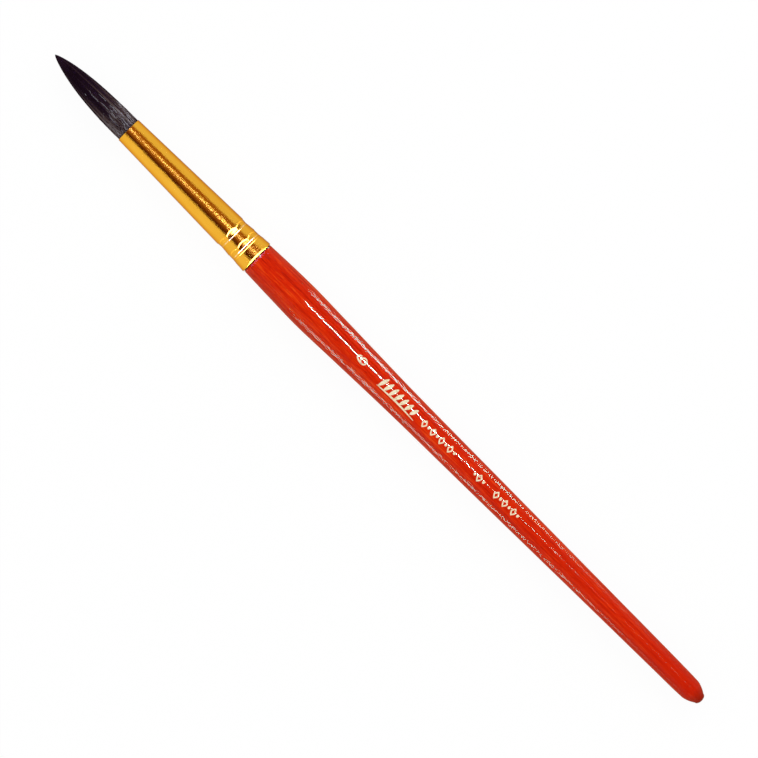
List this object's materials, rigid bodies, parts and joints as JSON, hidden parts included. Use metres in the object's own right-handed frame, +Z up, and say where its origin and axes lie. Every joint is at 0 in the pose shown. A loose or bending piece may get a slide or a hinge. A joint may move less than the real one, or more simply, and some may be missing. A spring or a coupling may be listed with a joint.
{
  "type": "round watercolour brush",
  "caption": "Pointed soft-hair tuft in a tapered gold ferrule with two crimps, on a turned wooden handle in translucent red lacquer.",
  "frame": {"origin": "middle of the length, under the axis, on the surface that the belly of the handle rests on", "axes": "+X along the axis of the brush towards the tip of the hair, +Z up, the brush lying level"},
  "size_m": [0.183, 0.008, 0.008],
  "materials": {
    "hair": "soft dark natural hair",
    "thread": "matte waxed thread",
    "resin": "set amber resin",
    "ferrule_metal": "gold-coloured, bright, fine handling marks",
    "adhesive": "thin set film",
    "wood": "fine turned hardwood",
    "lacquer": "translucent red gloss over wood grain"
  },
  "bodies": {
    "brush": {"wooden_handle": "wood", "handle_lacquer": "lacquer", "ferrule": "ferrule_metal", "tenon_glue": "adhesive", "resin_plug": "resin", "binding_thread": "thread", "hair_root": "hair", "hair_waist": "hair"},
    "tuft": {"hair_tuft": "hair"}
  },
  "joints": [
    {"name": "hair_flex", "type": "hinge", "parent": "brush", "child": "tuft", "pos_m": [0.07357, 0, 0.004], "axis": [0, 0, 1], "range_deg": [-45, 45], "stiffness_Nm_per_rad": 0.001, "deforming": ["hair_waist"]}
  ]
}
